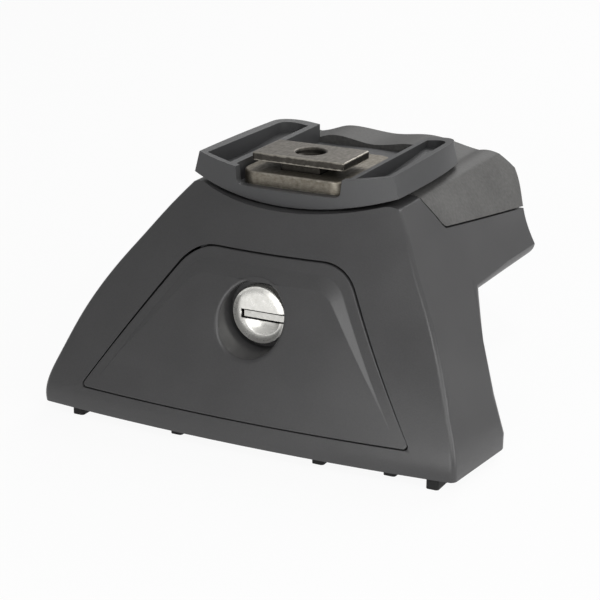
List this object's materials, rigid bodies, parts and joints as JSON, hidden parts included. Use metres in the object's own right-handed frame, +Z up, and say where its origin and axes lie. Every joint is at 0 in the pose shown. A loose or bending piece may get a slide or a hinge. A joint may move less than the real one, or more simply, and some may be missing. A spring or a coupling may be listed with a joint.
{
  "type": "roof bar foot",
  "caption": "Lockable roof bar foot: moulded housing over a cast chassis, rubber bar pad with a clamp nut on top, pull-off front cover with a key lock, and a screw-driven clamp in the base.",
  "frame": {"origin": "middle of the base clamp at the underside of the rubber ribs", "axes": "+X along the foot's length, -Y out of the front cover, +Y along the arm under the bar, +Z up"},
  "size_m": [0.1296, 0.1072, 0.0724],
  "materials": {
    "housing_plastic": "fine moulded grain",
    "boot_rubber": "coarse moulded grain",
    "pad_rubber": "smooth",
    "base_rubber": "matt",
    "cast_alloy": "as cast",
    "zinc_steel": "dull zinc plating, worn edges",
    "plain_steel": "bright zinc plating",
    "lock_nickel": "bright nickel plating",
    "lock_brass": "turned"
  },
  "bodies": {
    "foot": {"housing": "housing_plastic", "rear_boot": "boot_rubber", "bar_pad": "pad_rubber", "base_pad": "base_rubber", "chassis": "cast_alloy", "clamp_plate": "zinc_steel", "bar_bolt_washer": "plain_steel", "jaw_bolt_washer": "plain_steel", "housing_screws": "plain_steel", "pad_screws": "plain_steel"},
    "cover": {"front_cover": "housing_plastic", "lock_sleeve": "lock_brass"},
    "lock": {"lock_core": "lock_nickel", "lock_wafers": "lock_brass", "lock_cam": "plain_steel", "cam_screw": "plain_steel"},
    "bar_bolt": {"bar_bolt": "plain_steel"},
    "t_nut": {"t_nut": "zinc_steel"},
    "jaw_bolt": {"jaw_bolt": "plain_steel", "jaw_bolt_clip": "plain_steel"},
    "jaw": {"clamp_jaw": "cast_alloy"}
  },
  "joints": [
    {"name": "cover_pull", "type": "slide", "parent": "foot", "child": "cover", "axis": [0, -1, 0], "range_m": [0, 0.04]},
    {"name": "lock_turn", "type": "hinge", "parent": "cover", "child": "lock", "pos_m": [0, -0.0048, 0.0344], "axis": [0, -1, 0], "range_deg": [0, 90]},
    {"name": "bar_bolt_turn", "type": "hinge", "parent": "foot", "child": "bar_bolt", "pos_m": [0, 0.026, 0.0504], "axis": [0, 0, 1], "range_deg": [-540, 540]},
    {"name": "nut_slide", "type": "slide", "parent": "foot", "child": "t_nut", "axis": [0, 0, 1], "range_m": [-0.0019, 0.0019]},
    {"name": "jaw_bolt_turn", "type": "hinge", "parent": "foot", "child": "jaw_bolt", "pos_m": [0, -0.005, 0.0154], "axis": [0, -1, 0], "range_deg": [0, 1006]},
    {"name": "jaw_slide", "type": "slide", "parent": "foot", "child": "jaw", "axis": [0, 1, 0], "range_m": [0, 0.0035]}
  ],
  "couplings": [
    {"joint": "nut_slide", "follows": "bar_bolt_turn", "m_per_rad": -0.00019894},
    {"joint": "jaw_slide", "follows": "jaw_bolt_turn", "m_per_rad": 0.00019894}
  ]
}
